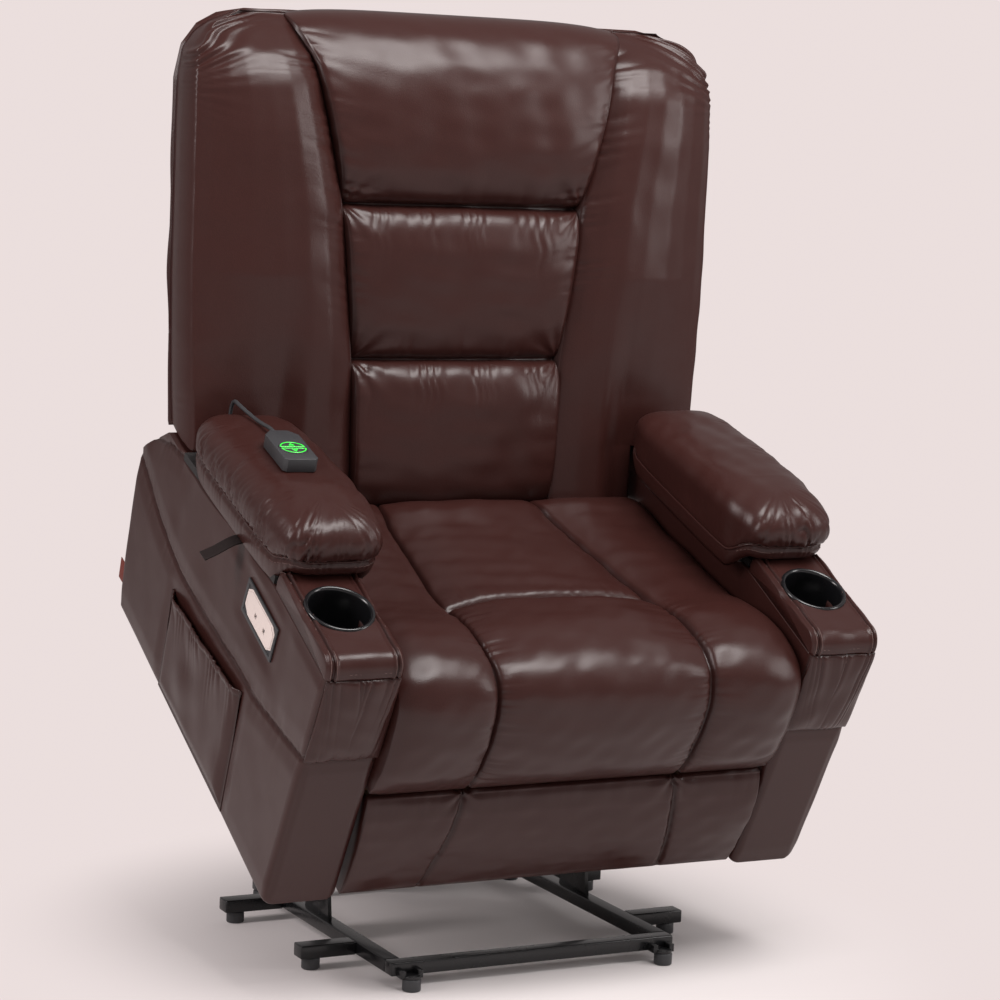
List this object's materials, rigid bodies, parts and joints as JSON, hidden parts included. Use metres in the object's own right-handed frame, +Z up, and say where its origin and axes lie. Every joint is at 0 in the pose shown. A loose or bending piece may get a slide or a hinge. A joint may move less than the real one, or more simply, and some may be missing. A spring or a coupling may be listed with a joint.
{
  "type": "lift recliner chair",
  "caption": "Upholstered power lift recliner with padded arms, cup wells, side pockets, a handset and a steel lift base, drawn in the raised pose.",
  "frame": {"origin": "floor point under the middle of the whole chair's bounding box in the raised pose", "axes": "+Z up, the sitter faces -Y, +X to the sitter's left"},
  "size_m": [1.0176, 0.8348, 1.4355],
  "materials": {
    "leather": "semi-gloss faux leather",
    "frame_steel": "gloss black",
    "bright_steel": "zinc plated",
    "wood": "bare plywood",
    "dark_plastic": "satin dark grey",
    "cup_plastic": "gloss black",
    "white_plastic": "gloss white",
    "button_plastic": "lit green",
    "webbing": "woven webbing",
    "tag_cloth": "plain dark red tag"
  },
  "bodies": {
    "base": {"base_rails": "frame_steel", "base_front_bar": "frame_steel", "base_rear_bar": "frame_steel", "outriggers": "frame_steel", "glide_feet": "frame_steel", "foot_brackets": "frame_steel", "lift_posts": "frame_steel", "motor_bracket": "frame_steel"},
    "lift_arm": {"lift_arms": "frame_steel", "torque_tube": "frame_steel", "drive_crank": "frame_steel", "tilt_pins": "bright_steel"},
    "motor": {"motor_housing": "dark_plastic", "motor_tube": "frame_steel"},
    "rod": {"motor_rod": "bright_steel"},
    "chair": {"frame_plates": "frame_steel", "frame_tubes": "frame_steel", "seat_frame": "wood", "seat_springs": "bright_steel", "seat_cushion": "leather", "control_box": "dark_plastic", "power_inlet": "dark_plastic", "frame_pins": "bright_steel", "arm_shell_left": "leather", "arm_shell_right": "leather", "console_cap_left": "leather", "console_cap_right": "leather", "storage_bins": "dark_plastic", "cup_holders": "cup_plastic", "side_pockets": "leather", "front_pouches": "leather", "lid_hinges": "bright_steel", "usb_plate": "white_plastic", "maker_tag": "tag_cloth", "cord_gland": "dark_plastic"},
    "lid_left": {"lid_board_left": "wood", "lid_leaf_left": "bright_steel", "arm_pad_left": "leather", "pull_tab_left": "webbing", "handset_body": "dark_plastic", "handset_cord": "dark_plastic"},
    "lid_right": {"lid_board_right": "wood", "lid_leaf_right": "bright_steel", "arm_pad_right": "leather", "pull_tab_right": "webbing"},
    "up_button": {"button_up": "button_plastic"},
    "down_button": {"button_down": "button_plastic"},
    "back": {"back_frame": "wood", "back_panel": "leather", "back_cushion": "leather", "wing_left": "leather", "wing_right": "leather", "back_brackets": "frame_steel"},
    "foot_lower": {"foot_links_lower": "frame_steel", "foot_link_pins": "bright_steel"},
    "foot_upper": {"foot_links_upper": "frame_steel"},
    "footrest": {"ottoman_board": "wood", "ottoman_pad": "leather"}
  },
  "joints": [
    {"name": "lift", "type": "hinge", "parent": "base", "child": "lift_arm", "pos_m": [0, 0.0836, 0.18], "axis": [-1, 0, 0], "range_deg": [0, 90.1]},
    {"name": "tilt", "type": "hinge", "parent": "lift_arm", "child": "chair", "pos_m": [0, 0.15816, 0.40251], "axis": [-1, 0, 0], "range_deg": [-61.8, 0.1]},
    {"name": "motor_swing", "type": "hinge", "parent": "base", "child": "motor", "pos_m": [0, 0.2711, 0.07], "axis": [-1, 0, 0], "range_deg": [-0.1, 8.07]},
    {"name": "rod_slide", "type": "slide", "parent": "motor", "child": "rod", "axis": [0, -0.7689, 0.6394], "range_m": [-0.09431, 0.0002]},
    {"name": "recline", "type": "hinge", "parent": "chair", "child": "back", "pos_m": [0, 0.22209, 0.64171], "axis": [-1, 0, 0], "range_deg": [0, 40]},
    {"name": "footrest_extend", "type": "hinge", "parent": "chair", "child": "foot_lower", "pos_m": [0, -0.21487, 0.3145], "axis": [-1, 0, 0], "range_deg": [0, 85]},
    {"name": "footrest_knee", "type": "hinge", "parent": "foot_lower", "child": "foot_upper", "pos_m": [0, -0.16255, 0.21774], "axis": [-1, 0, 0], "range_deg": [-170.1, 0.1]},
    {"name": "footrest_turn", "type": "hinge", "parent": "foot_upper", "child": "footrest", "pos_m": [0, -0.21487, 0.3145], "axis": [-1, 0, 0], "range_deg": [-0.1, 170.1]},
    {"name": "lid_left", "type": "hinge", "parent": "chair", "child": "lid_left", "pos_m": [-0.333, -0.03537, 0.68451], "axis": [0, 0.9373, 0.3486], "range_deg": [0, 55], "deforming": ["handset_cord"]},
    {"name": "lid_right", "type": "hinge", "parent": "chair", "child": "lid_right", "pos_m": [0.333, -0.03537, 0.68451], "axis": [0, -0.9373, -0.3486], "range_deg": [0, 55]},
    {"name": "press_up", "type": "slide", "parent": "lid_left", "child": "up_button", "axis": [0, 0.2851, -0.9585], "range_m": [0, 0.001], "stiffness_N_per_m": 800, "springref_m": -0.0006},
    {"name": "press_down", "type": "slide", "parent": "lid_left", "child": "down_button", "axis": [0, 0.2851, -0.9585], "range_m": [0, 0.001], "stiffness_N_per_m": 800, "springref_m": -0.0006}
  ],
  "couplings": [
    {"joint": "tilt", "follows": "lift", "ratio": -0.6848},
    {"joint": "motor_swing", "follows": "lift", "ratio": 0.088502},
    {"joint": "rod_slide", "follows": "lift", "m_per_rad": -0.059842},
    {"joint": "footrest_knee", "follows": "footrest_extend", "ratio": -2},
    {"joint": "footrest_turn", "follows": "footrest_extend", "ratio": 2}
  ]
}
